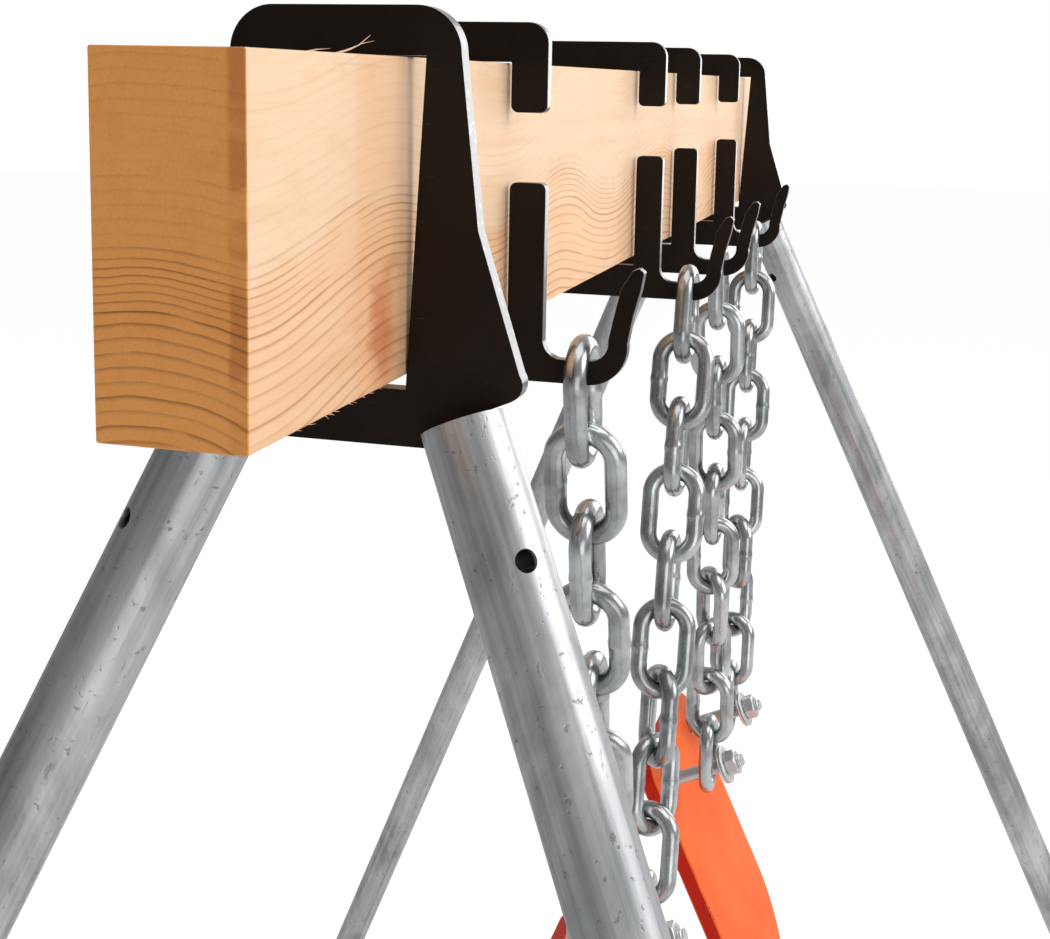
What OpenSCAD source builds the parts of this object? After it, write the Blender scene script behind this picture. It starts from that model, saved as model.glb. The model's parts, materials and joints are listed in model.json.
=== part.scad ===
// Hanging plate stand: a timber beam on two clamp-on A-frame ends, with chains hung from slip-on hooks.
// The beam runs along X, the hooks face -Y, and the feet rest on z = 0.

/* [Beam] */
// Length of the timber beam
beam_len = 900; // [880:10:1200]
// Thickness of the beam, across the stand
beam_w = 38; // [38:1:40]
// Depth of the beam, upright
beam_h = 89; // [88:1:92]
// Radius of the beam's long edges
beam_edge = 0.8; // [0.5:0.1:3]
// Height of the beam's underside above the floor
beam_rise = 830; // [700:10:1000]

/* [End brackets and legs] */
// Distance between the two end brackets, middle to middle
bracket_span = 696; // [680:2:760]
// Thickness of a bracket plate
bracket_t = 6; // [5:0.5:8]
// Outer diameter of a leg tube
leg_d = 25.4; // [24:0.1:27]
// Wall of a leg tube
leg_wall = 1.6; // [1.2:0.1:2]
// Sideways lean of a leg, run over rise
lean_side = 0.433; // [0.3:0.01:0.5]
// Lean of a leg along the beam, run over rise
lean_end = 0.246; // [0.1:0.01:0.3]
// Length of the spigot inside a leg
spigot_len = 62; // [50:1:80]
// Diameter of the pin hole through leg and spigot
pin_hole_d = 6.6; // [5:0.1:8]
// Distance of the pin hole from the top of the leg
pin_hole_drop = 42; // [30:1:48]
// Turn of the pin hole about the leg, towards the beam's end
pin_hole_turn = 17; // [0:1:20]

/* [Hangers] */
// Thickness of a hanger plate
hanger_t = 5; // [4:0.5:6]
// Width of a hanger's bars
hanger_bar = 12.7; // [11:0.1:14]
// Middle of the left pair of hangers, along the beam
pair_1_x = -144; // [-150:1:-140]
// Distance between the hangers of the left pair
pair_1_gap = 216; // [200:2:220]
// Middle of the right pair of hangers, along the beam
pair_2_x = 142; // [138:1:150]
// Distance between the hangers of the right pair
pair_2_gap = 154; // [140:2:160]

/* [Chains] */
// Wire diameter of a chain link
wire_d = 8; // [7:0.1:8]
// Outer length of a link
link_len = 48; // [46:0.5:50]
// Outer width of a link
link_w = 30; // [29:0.5:31]
// Play left between two links that touch
link_play = 0.35; // [0.3:0.05:0.4]

/* [Plates] */
// Width of a hanging plate
plate_w = 120; // [110:1:130]
// Height of a hanging plate
plate_h = 190; // [180:1:200]
// Thickness of a hanging plate
plate_t = 9.5; // [8:0.5:10]
// Distance between the two bolts of a plate
bolt_gap = 84; // [80:1:90]
// Distance of the bolts below the plate's top edge
bolt_drop = 20; // [18:1:24]
// Angle by which a plate hangs out of plumb
plate_tilt = 25; // [22:0.5:28]
// Distance of a chain from the plate's front face, along the bolt
stand_off = 27; // [26:0.5:30]

/* [Hidden] */
$fn = 64;

beam_z = beam_rise + beam_h / 2;      // height of the beam's middle
half_w = beam_w / 2;
half_h = beam_h / 2;

// End bracket outline, measured from the middle of the beam, for the side y > 0
window_top = 44.8;
window_foot = -48.5;
window_top_y = half_w + 5.4;
window_foot_y = half_w + 0.1;
crown_z = 58.5;
crown_r = 13;
shoulder_y = 34.5;                    // outer edge just under the rounded crown
waist = [39.9, -2.5];                 // where the outer edge turns outwards
lobe_tip = [53.4, -45];
lobe_r = 5;
leg_root_y = 31.4;                    // leg axis at the level of the beam's underside
leg_top_drop = 12;                    // leg's top end below the beam's underside
foot_gap = 0.8;                       // keeps the rim of the leaning leg clear of the plate
leg_slant = sqrt(1 + lean_side ^ 2 + lean_end ^ 2);
spigot_d = leg_d - 2 * leg_wall - 0.3;
spigot_drop = 0.3;                    // the spigot starts this far below the leg's top
tongue_w = 14;
tongue_len = 6;

// Hanger outline, measured from the middle of the beam
arm_y = half_w + 1.5;                 // inner face of the bars beside the beam
hanger_top = 58;
hanger_foot = -63.5;
arm_end_z = 28;                       // the upper arm ends here
upright_z = 4.6;                      // the lower upright starts here
floor_z = -half_h - 3.5;              // upper edge of the bar under the beam
hook_floor_z = -55.2;                 // the chain rests on this edge
hook_y = 47;                          // the chain hangs at this distance from the middle

// Chains
links = 10;
half_links = 5;
wire_r = wire_d / 2;
bend_r = link_w / 2 - wire_r;         // centre line of a link's end
straight = link_len - link_w;
axis_len = straight + 2 * bend_r;     // link height on its wire's centre line
pitch = axis_len - wire_d - link_play;
inner_r = bend_r - wire_r;
// The round of a link drops until it clears both edges of the hook's plate
hook_drop = sqrt((inner_r - link_play) ^ 2 - (hanger_t / 2) ^ 2);
hang_z = hook_floor_z - hook_drop + bend_r;
twist_step = 108;                     // the lower half takes up a quarter turn

// Fasteners, M8
bolt_d = 8;
neck_hole = 8.6;                      // square hole in the plate for a bolt's neck
bolt_head_d = 18;
bolt_head_h = 4.4;
square_neck = 8.2;
neck_len = 4;
washer_d = 22;
washer_t = 1.6;
washer_step = washer_t + 0.05;        // two washers lie together, a hair apart
washer_hole_d = 8.4;
washer_gap = 8.8;                     // from the chain's middle to the first washer
nut_af = 13;
nut_h = 6.8;
bolt_proud = 3;
washer_from = stand_off + washer_gap;
nut_from = washer_from + 2 * washer_step;
bolt_end = nut_from + nut_h + bolt_proud;

function pair_x(p) = p == 1 ? pair_1_x : pair_2_x;
function pair_gap(p) = p == 1 ? pair_1_gap : pair_2_gap;
// Hangers, chains and bolts are numbered 1 to 4 from the left, two to a pair
function pair_of(n) = n <= 2 ? 1 : 2;
function side_of(n) = n % 2 == 1 ? -1 : 1;
function hanger_x(n) = pair_x(pair_of(n)) + side_of(n) * pair_gap(pair_of(n)) / 2;
function bolt_x(n) = pair_x(pair_of(n)) + side_of(n) * bolt_gap / 2;
// Middle of the first link's upper round, which a chain leans about
pivot_z = beam_z + hang_z - bend_r;
// From there to the bolt, which bears on the last link's lower round
bolt_rise = (wire_d + link_play) / cos(plate_tilt);
bolt_reach = (links - 1) * pitch + axis_len - bend_r - bolt_rise;
// A chain leans in until its last link is over its bolt
function chain_lean(n) = asin((bolt_x(n) - hanger_x(n)) / bolt_reach);
function bolt_z(n) = pivot_z - bolt_reach * cos(chain_lean(n));
// Links of the upper half cross squarely, those of the lower half turn a little more
function link_turn(i) = i < half_links ? 90 * i : twist_step * (i - half_links + 1);

// A timber beam with its long edges slightly eased
module beam() {
    color("burlywood")
    translate([-beam_len / 2, 0, beam_z])
    rotate([90, 0, 90])
    linear_extrude(beam_len) eased_rectangle(beam_w, beam_h, beam_edge);
}

module eased_rectangle(w, h, r) {
    square([w - 2 * r, h], center = true);
    square([w, h - 2 * r], center = true);
    for (x = [-1, 1], y = [-1, 1])
        translate([x * (w / 2 - r), y * (h / 2 - r)]) circle(r);
}

// The bracket's outline is mirrored about the beam's middle plane
module bracket_half() {
    difference() {
        union() {
            // Crown with its rounded shoulder
            translate([0, half_h]) square([shoulder_y - crown_r, crown_z - half_h]);
            translate([shoulder_y - crown_r, crown_z - crown_r]) circle(crown_r);
            // Side arm, widening below the waist into the lobe over the leg
            polygon([[0, crown_z - crown_r], [shoulder_y, crown_z - crown_r], waist, lobe_tip,
                lobe_tip - [lobe_r, lobe_r], [0, lobe_tip[1] - lobe_r]]);
            translate(lobe_tip - [lobe_r, 0]) circle(lobe_r);
            // Down to where the cut meets the round of the lobe
            translate([0, -65]) square([lobe_tip[0] - lobe_r + lobe_r * sin(atan(lean_side)), 65 - 40]);
        }
        // The foot of the lobe is cut square to the leg
        at_leg_top() translate([-leg_d / 2 - foot_gap, -60]) square([80, 60 + foot_gap]);
        // Tapered window that the beam wedges into
        polygon([[-1, window_foot], [window_foot_y, window_foot],
            [window_top_y, window_top], [-1, window_top]]);
    }
    // Tongue inside the leg, to which the spigot is welded
    at_leg_top() translate([-tongue_w / 2, -tongue_len]) square([tongue_w, tongue_len + 2]);
}

// In the bracket's outline: the middle of a leg's top end, with y up the leg
module at_leg_top() {
    translate([leg_root_y + lean_side * leg_top_drop, -half_h - leg_top_drop])
    rotate(atan(lean_side)) children();
}

// Turns the z axis down along a leg, starting at the leg's top end
module along_leg(end, side) {
    translate([end * (bracket_span / 2 + lean_end * leg_top_drop),
        side * (leg_root_y + lean_side * leg_top_drop), beam_rise - leg_top_drop])
    rotate([0, 0, atan2(side * lean_side, end * lean_end)])
    rotate([0, 180 - acos(1 / leg_slant), 0])
    children();
}

// Hole for a locking pin, turned from the upright plane that holds the leg
module pin_hole(end, side) {
    translate([0, 0, pin_hole_drop])
    rotate([0, 0, end * side * pin_hole_turn])
    rotate([0, 90, 0]) cylinder(d = pin_hole_d, h = 60, center = true);
}

// One welded piece: the loop plate and the two spigots that the legs slide over
module bracket(end) {
    color([0.09, 0.085, 0.08]) {
        translate([end * bracket_span / 2 - bracket_t / 2, 0, beam_z])
        rotate([90, 0, 90]) linear_extrude(bracket_t) {
            bracket_half();
            mirror([1, 0]) bracket_half();
        }
        for (side = [-1, 1])
            along_leg(end, side) difference() {
                translate([0, 0, spigot_drop]) cylinder(d = spigot_d, h = spigot_len - spigot_drop);
                pin_hole(end, side);
            }
    }
}

module left_bracket() bracket(-1);
module right_bracket() bracket(1);

// Tube leg, cut square at the top and level with the floor at the foot
module leg(end, side) {
    color([0.62, 0.66, 0.70])
    difference() {
        along_leg(end, side) difference() {
            cylinder(d = leg_d, h = beam_rise * leg_slant + 20);
            translate([0, 0, -1]) cylinder(d = leg_d - 2 * leg_wall, h = beam_rise * leg_slant + 40);
            pin_hole(end, side);
        }
        translate([0, 0, -100]) cube([3000, 3000, 200], center = true);
    }
}

module leg_1() leg(-1, -1);
module leg_2() leg(-1, 1);
module leg_3() leg(1, -1);
module leg_4() leg(1, 1);

// Slip-on hanger: top bar, short front arm, spine at the back, foot bar, front upright and hook
module hanger_outline() {
    bar_out = arm_y + hanger_bar;
    tip = [66, -22.6];
    difference() {
        union() {
            // Top bar, with both shoulders rounded
            translate([-bar_out + 7, half_h + 0.3]) square([2 * bar_out - 14, hanger_top - half_h - 0.3]);
            translate([-bar_out, half_h - 2]) square([2 * bar_out, hanger_top - half_h + 2 - 7]);
            for (y = [-1, 1]) translate([y * (bar_out - 7), hanger_top - 7]) circle(7);
            // Short front arm with a rounded end
            translate([arm_y, arm_end_z + 2.5]) square([hanger_bar, half_h - arm_end_z]);
            translate([arm_y + 2.5, arm_end_z]) square([hanger_bar - 5, 10]);
            for (y = [arm_y + 2.5, bar_out - 2.5]) translate([y, arm_end_z + 2.5]) circle(2.5);
            // Spine at the back
            translate([-bar_out, hanger_foot + 7]) square([hanger_bar, hanger_top - hanger_foot - 14]);
            translate([-bar_out + 7, hanger_foot + 7]) circle(7);
            // Foot bar, front upright and the root of the hook
            translate([-bar_out + 7, hanger_foot]) square([bar_out + 42.3, floor_z - hanger_foot]);
            translate([arm_y, floor_z - 5]) square([hanger_bar, upright_z - floor_z + 2.5]);
            translate([arm_y + 2.5, floor_z]) square([hanger_bar - 5, upright_z - floor_z]);
            for (y = [arm_y + 2.5, bar_out - 2.5]) translate([y, upright_z - 2.5]) circle(2.5);
            // Hook, leaning out to a blunt tip
            polygon([[48, hanger_foot + 0.7], [55.6, -59.5], [60.2, -54.6], [62.8, -48], [64.4, -39],
                [66.8, -30], [67.8, -24], tip, [63.8, -23.6], [60, -29.8], [57.8, -39.4], [56, -46.5],
                [40, -44], [33.2, -50]]);
            translate([49.3, -50]) circle(13.5);
        }
        // Inside the beam's passage
        translate([-arm_y, floor_z]) square([2 * arm_y, half_h + 0.3 - floor_z]);
        // Throat of the hook
        translate([bar_out + 6.5, hook_floor_z + 6.5]) circle(6.5);
        translate([hook_y + 2.6, hook_floor_z + 6.5]) circle(6.5);
        translate([bar_out + 6.5, hook_floor_z]) square([hook_y + 2.6 - bar_out - 6.5, 13]);
        polygon([[bar_out, hook_floor_z + 6.5], [bar_out, 0], [58, 0], [60, -29.8],
            [57.8, -39.4], [56, hook_floor_z + 7.3]]);
    }
}

module hanger(n) {
    color([0.07, 0.065, 0.06])
    translate([hanger_x(n) - hanger_t / 2, 0, beam_z])
    rotate([90, 0, 90]) linear_extrude(hanger_t) mirror([1, 0]) hanger_outline();
}

module hanger_1() hanger(1);
module hanger_2() hanger(2);
module hanger_3() hanger(3);
module hanger_4() hanger(4);

// One welded oval link, its middle at the origin, in the plane y = 0
module link() {
    for (x = [-1, 1])
        translate([x * bend_r, 0, 0]) cylinder(d = wire_d, h = straight, center = true);
    for (end = [0, 1]) mirror([0, 0, end])
        translate([0, 0, straight / 2]) rotate([90, 0, 0])
        rotate_extrude(angle = 180) translate([bend_r, 0]) circle(d = wire_d);
}

// Links first to last of chain n, counted from 0 at the hook
module chain(n, first, last) {
    color([0.70, 0.72, 0.74])
    translate([hanger_x(n), -hook_y, pivot_z])
    rotate([0, -chain_lean(n), 0])
    for (i = [first : last])
        translate([0, 0, bend_r - axis_len / 2 - i * pitch]) rotate([0, 0, link_turn(i)]) link();
}

module chain_1_upper() chain(1, 0, half_links - 1);
module chain_1_lower() chain(1, half_links, links - 1);
module chain_2_upper() chain(2, 0, half_links - 1);
module chain_2_lower() chain(2, half_links, links - 1);
module chain_3_upper() chain(3, 0, half_links - 1);
module chain_3_lower() chain(3, half_links, links - 1);
module chain_4_upper() chain(4, 0, half_links - 1);
module chain_4_lower() chain(4, half_links, links - 1);

// Frame of a plate: origin on the bolts' line at the front face, z along the bolts
module at_plate(n) {
    translate([0, -hook_y, bolt_z(n)])
    rotate([90 - plate_tilt, 0, 0])
    translate([0, 0, -stand_off])
    children();
}

// Plate with rounded shoulders and a half-round foot, square holes for the bolts' necks
module plate(p) {
    n = 2 * p - 1;
    shoulder_r = 12;
    color([1, 0.42, 0.06])
    at_plate(n) translate([pair_x(p), 0, -plate_t])
    difference() {
        linear_extrude(plate_t) mirror([0, 1]) {
            translate([0, plate_h - plate_w / 2 - bolt_drop]) circle(plate_w / 2);
            translate([-plate_w / 2, shoulder_r - bolt_drop])
                square([plate_w, plate_h - plate_w / 2 - shoulder_r]);
            translate([-plate_w / 2 + shoulder_r, -bolt_drop])
                square([plate_w - 2 * shoulder_r, shoulder_r]);
            for (x = [-1, 1])
                translate([x * (plate_w / 2 - shoulder_r), shoulder_r - bolt_drop]) circle(shoulder_r);
        }
        for (x = [-1, 1])
            translate([x * bolt_gap / 2, 0, plate_t / 2]) cube([neck_hole, neck_hole, plate_t + 2], center = true);
    }
}

module plate_1() plate(1);
module plate_2() plate(2);

// Cup-head bolt with a square neck
module bolt(n) {
    color([0.68, 0.70, 0.71])
    at_plate(n) translate([bolt_x(n), 0, 0]) {
        translate([0, 0, -plate_t - bolt_head_h]) intersection() {
            cylinder(d = bolt_head_d, h = bolt_head_h);
            translate([0, 0, 11.4]) sphere(r = 11.4);
        }
        translate([-square_neck / 2, -square_neck / 2, -plate_t - 0.1]) cube([square_neck, square_neck, neck_len]);
        translate([0, 0, -plate_t - 0.1]) cylinder(d = bolt_d, h = plate_t + 0.1 + bolt_end);
    }
}

module bolt_1() bolt(1);
module bolt_2() bolt(2);
module bolt_3() bolt(3);
module bolt_4() bolt(4);

module washers(n) {
    color([0.72, 0.73, 0.72])
    at_plate(n) for (i = [0, 1])
        translate([bolt_x(n), 0, washer_from + i * washer_step]) difference() {
            cylinder(d = washer_d, h = washer_t);
            translate([0, 0, -1]) cylinder(d = washer_hole_d, h = washer_t + 2);
        }
}

module washers_1() washers(1);
module washers_2() washers(2);
module washers_3() washers(3);
module washers_4() washers(4);

module nut(n) {
    color([0.60, 0.62, 0.63])
    at_plate(n) translate([bolt_x(n), 0, nut_from]) difference() {
        cylinder(d = nut_af / cos(30), h = nut_h, $fn = 6);
        translate([0, 0, -1]) cylinder(d = bolt_d, h = nut_h + 2);
    }
}

module nut_1() nut(1);
module nut_2() nut(2);
module nut_3() nut(3);
module nut_4() nut(4);

beam();
left_bracket();
right_bracket();
leg_1();
leg_2();
leg_3();
leg_4();
hanger_1();
hanger_2();
hanger_3();
hanger_4();
chain_1_upper();
chain_1_lower();
chain_2_upper();
chain_2_lower();
chain_3_upper();
chain_3_lower();
chain_4_upper();
chain_4_lower();
plate_1();
plate_2();
bolt_1();
bolt_2();
bolt_3();
bolt_4();
washers_1();
washers_2();
washers_3();
washers_4();
nut_1();
nut_2();
nut_3();
nut_4();
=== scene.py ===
"""Finished pieces, materials and studio of a hanging plate stand, built around its packed frame."""
import json
import math

import bmesh
import bpy
from mathutils import Matrix, Vector, noise


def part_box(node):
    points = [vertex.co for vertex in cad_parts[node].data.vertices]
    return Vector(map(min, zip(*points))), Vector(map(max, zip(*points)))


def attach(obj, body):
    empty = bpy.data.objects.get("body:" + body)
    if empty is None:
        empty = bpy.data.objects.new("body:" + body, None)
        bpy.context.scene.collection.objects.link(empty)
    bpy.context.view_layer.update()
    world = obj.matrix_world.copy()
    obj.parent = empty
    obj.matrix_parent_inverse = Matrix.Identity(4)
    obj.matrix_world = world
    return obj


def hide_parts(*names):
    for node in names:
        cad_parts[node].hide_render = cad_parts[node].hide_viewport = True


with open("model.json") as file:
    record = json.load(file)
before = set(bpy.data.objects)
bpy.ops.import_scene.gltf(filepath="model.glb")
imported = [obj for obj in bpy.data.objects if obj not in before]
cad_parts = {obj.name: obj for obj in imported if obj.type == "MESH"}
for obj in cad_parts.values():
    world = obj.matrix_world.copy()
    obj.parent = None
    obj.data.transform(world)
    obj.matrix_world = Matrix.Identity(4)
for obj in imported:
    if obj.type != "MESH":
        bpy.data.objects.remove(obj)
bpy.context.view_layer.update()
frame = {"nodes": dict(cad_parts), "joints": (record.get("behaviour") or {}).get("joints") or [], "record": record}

bl_info = {
    "name": "Hanging Plate Stand",
    "version": (1, 0, 0),
    "blender": (4, 5, 0),
    "location": "View3D > Sidebar > Stand",
    "description": "Builds the finished pieces of a hanging plate stand and its studio",
    "category": "Add Mesh",
}

MM = 0.001
PAIRS = {"left": (1, 2), "right": (3, 4)}


# ---------------------------------------------------------------- places, taken from the frame

def joint_at(name):
    """Place of a hinge, from the packed record."""
    return Vector(next(j["pos_m"] for j in frame["joints"] if j["name"] == name))


def middle(node):
    """Middle of a node's box."""
    low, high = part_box(node)
    return (low + high) / 2


def bolt_line(side, chain, plate):
    """Frame on a plate's bolts: its origin on the front face between them, z along the bolts."""
    first, second = PAIRS[side]
    fall = chain_fall(chain, plate) * math.cos(chain_lean(side, chain, plate))
    swing = joint_at(f"{side}_chain_swing")
    height = swing.z - chain_bend(chain) - fall
    centre = (middle(f"bolt_{first}").x + middle(f"bolt_{second}").x) / 2
    return (Matrix.Translation((centre, swing.y, height))
            @ Matrix.Rotation(math.pi / 2 - plate.tilt, 4, "X")
            @ Matrix.Translation((0, 0, -plate.stand_off)))


def chain_lean(side, chain, plate):
    """Angle at which a chain leans in, so that its last link is over its bolt."""
    first, _ = PAIRS[side]
    reach = middle(f"bolt_{first}").x - middle(f"hanger_{first}").x
    return math.asin(reach / chain_fall(chain, plate))


def chain_bend(chain):
    """Radius of a link's rounds, on the wire's centre line."""
    return chain.link_width / 2 - chain.wire / 2


def chain_pitch(chain):
    """Distance from one link to the next."""
    return chain.link_length - 2 * chain.wire - chain.play


def chain_fall(chain, plate):
    """From the middle of the first link's upper round to the bolt, along a chain."""
    axis_length = chain.link_length - chain.wire
    bolt_rise = (chain.wire + chain.play) / math.cos(plate.tilt)
    return (chain.links - 1) * chain_pitch(chain) + axis_length - chain_bend(chain) - bolt_rise


# ---------------------------------------------------------------- sizes and colours

def length_property(name, description, default):
    return bpy.props.FloatProperty(
        name=name, description=description, default=default, min=0.0, unit="LENGTH", precision=5)


def colour_property(name, description, default):
    return bpy.props.FloatVectorProperty(
        name=name, description=description, default=default, min=0.0, max=1.0, size=4, subtype="COLOR")


def ratio_property(name, description, default):
    return bpy.props.FloatProperty(
        name=name, description=description, default=default, min=0.0, max=1.0, subtype="FACTOR")


class StandTimber(bpy.types.PropertyGroup):
    """Sizes and colours of the softwood beam."""
    edge: length_property("Edge", "Radius of the eased long edges", 0.8 * MM)
    ring: length_property("Ring", "Distance between two growth rings", 3.3 * MM)
    extra_rings: bpy.props.FloatProperty(
        name="Extra rings", description="Rings added where the tree grew slowly", default=2.6, min=0.0)
    pith_drop: length_property(
        "Pith drop", "How far the tree's heart lies below the beam's middle", 100 * MM)
    pale: colour_property("Pale", "Wide pale part of a ring on the sides", (0.88, 0.615, 0.405, 1))
    line: colour_property("Line", "Dark line of a ring on the sides", (0.50, 0.205, 0.085, 1))
    end_pale: colour_property("End pale", "Pale part of a ring on the ends", (0.92, 0.40, 0.105, 1))
    end_line: colour_property("End line", "Dark line of a ring on the ends", (0.30, 0.085, 0.018, 1))


class StandSteel(bpy.types.PropertyGroup):
    """Edges and colours of the black steel."""
    edge: length_property("Edge", "Width of the worn bevel on a cut edge", 0.5 * MM)
    paint: colour_property("Paint", "Black paint on the faces", (0.0085, 0.0050, 0.0030, 1))
    # Light grey painted on the cut edges: a painted highlight that stands in for the white studio's reflection at
    # a grazing angle
    edge_sheen: colour_property("Rub", "Paint rubbed grey along an edge", (0.11, 0.112, 0.115, 1))


class StandTube(bpy.types.PropertyGroup):
    """Edges and colours of the galvanised tubes."""
    edge: length_property("Edge", "Bevel on the rims and holes", 0.3 * MM)
    bright: colour_property("Bright", "Bright parts of the zinc", (0.64, 0.65, 0.67, 1))
    dull: colour_property("Dull", "Dull grey parts of the zinc", (0.28, 0.295, 0.30, 1))


class StandChain(bpy.types.PropertyGroup):
    """Sizes and colour of the chains."""
    wire: length_property("Wire", "Wire diameter", 8 * MM)
    link_length: length_property("Link length", "Outer length of a link", 48 * MM)
    link_width: length_property("Link width", "Outer width of a link", 30 * MM)
    play: length_property("Play", "Play between two links", 0.35 * MM)
    weld: ratio_property("Weld", "Height of the weld bulge, as a part of the wire's radius", 0.09)
    links: bpy.props.IntProperty(name="Links", description="Links in a chain", default=10, min=2)
    zinc: colour_property("Zinc", "Bright zinc plating", (0.58, 0.605, 0.61, 1))


class StandPlate(bpy.types.PropertyGroup):
    """Sizes and colours of the hanging plates."""
    thickness: length_property("Thickness", "Thickness of a plate", 9.5 * MM)
    stand_off: length_property("Stand-off", "From a plate's face to the chain, along the bolt", 27 * MM)
    edge: length_property("Edge", "Bevel round a plate", 1.1 * MM)
    tilt: bpy.props.FloatProperty(name="Tilt", description="Angle out of plumb",
                                  default=math.radians(25), subtype="ANGLE")
    face: colour_property("Face", "Orange paint on the faces", (0.96, 0.145, 0.002, 1))
    # Painted shade: the rim faces get a darker, redder copy of the face paint, as they stand in shade
    shaded_rim: colour_property("Rim", "Redder paint round the rim", (0.66, 0.020, 0.002, 1))


class StandFastener(bpy.types.PropertyGroup):
    """Sizes and colour of the bolts, washers and nuts."""
    shank: length_property("Shank", "Diameter of a bolt", 8 * MM)
    thread: length_property("Thread", "Distance between two threads", 1.25 * MM)
    head: length_property("Head", "Diameter of a bolt's cup head", 18 * MM)
    head_height: length_property("Head height", "Height of a bolt's cup head", 4.4 * MM)
    washer: length_property("Washer", "Diameter of a washer", 22 * MM)
    washer_thickness: length_property("Washer thickness", "Thickness of a washer", 1.6 * MM)
    washer_gap: length_property("Washer gap", "From the chain to the first washer", 8.8 * MM)
    nut: length_property("Nut", "Width of a nut across its flats", 13 * MM)
    nut_height: length_property("Nut height", "Height of a nut", 6.8 * MM)
    play: length_property("Play", "Air between two washers, and past a nut's thread", 0.05 * MM)
    neck: length_property("Neck", "Length of a bolt's square neck", 4 * MM)
    proud: length_property("Proud", "How far a bolt stands out of its nut", 3 * MM)
    threaded: length_property("Threaded", "Length of a bolt's thread", 24 * MM)
    zinc: colour_property("Zinc", "Zinc plating", (0.62, 0.63, 0.62, 1))


class StandStudio(bpy.types.PropertyGroup):
    """Camera, floor and lights."""
    lens: bpy.props.FloatProperty(name="Lens", description="Focal length in mm", default=51.43)
    shift: bpy.props.FloatProperty(name="Shift", description="Upright shift of the view", default=-0.1614)
    camera: bpy.props.FloatVectorProperty(name="Camera", description="Place of the camera",
                                          default=(-0.7427, -0.1626, 0.9127), subtype="TRANSLATION")
    heading: bpy.props.FloatProperty(name="Heading", description="Turn of the view from the beam",
                                     default=math.radians(15.546), subtype="ANGLE")
    dip: bpy.props.FloatProperty(name="Dip", description="How far the view looks down",
                                 default=math.radians(8.266), subtype="ANGLE")
    roll: bpy.props.FloatProperty(name="Roll", description="Turn of the camera about its view",
                                  default=math.radians(1.121), subtype="ANGLE")
    floor: colour_property("Floor", "Pale studio floor", (0.93, 0.93, 0.93, 1))
    floor_radius: length_property("Floor radius", "Radius of the studio floor", 14.0)
    wash: ratio_property("Wash", "How far the floor is washed out to white", 0.75)
    glow: bpy.props.FloatProperty(name="Glow", description="Strength of that white", default=1.2)
    sky: bpy.props.FloatProperty(name="Sky", description="Strength of the soft light all round", default=1.0)


SETTINGS = {
    "stand_timber": StandTimber, "stand_steel": StandSteel, "stand_tube": StandTube,
    "stand_chain": StandChain, "stand_plate": StandPlate, "stand_fastener": StandFastener,
    "stand_studio": StandStudio,
}


# ---------------------------------------------------------------- node trees

class Field:
    """A number that varies over a surface. Sums on fields add their Math nodes."""

    def __init__(self, tree, socket):
        self.tree = tree
        self.socket = socket

    def math(self, operation, *values):
        return self.tree.add("ShaderNodeMath", {"operation": operation}, dict(enumerate(values)))

    def __add__(self, other):
        return self.math("ADD", self, other)

    def __radd__(self, other):
        return self.math("ADD", other, self)

    def __sub__(self, other):
        return self.math("SUBTRACT", self, other)

    def __rsub__(self, other):
        return self.math("SUBTRACT", other, self)

    def __mul__(self, other):
        return self.math("MULTIPLY", self, other)

    def __rmul__(self, other):
        return self.math("MULTIPLY", other, self)

    def __truediv__(self, other):
        return self.math("DIVIDE", self, other)

    def __rtruediv__(self, other):
        return self.math("DIVIDE", other, self)

    def __pow__(self, other):
        return self.math("POWER", self, other)

    def __neg__(self):
        return self.math("MULTIPLY", self, -1.0)

    def __abs__(self):
        return self.math("ABSOLUTE", self)

    def sine(self):
        return self.math("SINE", self)

    def fraction(self):
        return self.math("FRACT", self)

    def root(self):
        return self.math("SQRT", self)

    def power_of_e(self):
        return self.math("EXPONENT", self)


class Tree:
    """A node tree that is filled through one method."""

    def __init__(self, tree):
        self.tree = tree

    def add(self, kind, settings=None, values=None, out=0):
        """Adds a node: its settings first, then the values or links of its sockets."""
        node = self.tree.nodes.new(kind)
        for name, setting in (settings or {}).items():
            setattr(node, name, setting)
        for socket, value in (values or {}).items():
            if isinstance(value, Field):
                self.tree.links.new(value.socket, node.inputs[socket])
            elif isinstance(value, list):
                for link in value:
                    self.tree.links.new(link.socket, node.inputs[socket])
            else:
                node.inputs[socket].default_value = value
        return Field(self, node.outputs[out]) if len(node.outputs) else None

    def other(self, field, out):
        """Another output of the node that a field comes from."""
        return Field(self, field.socket.node.outputs[out])


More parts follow.
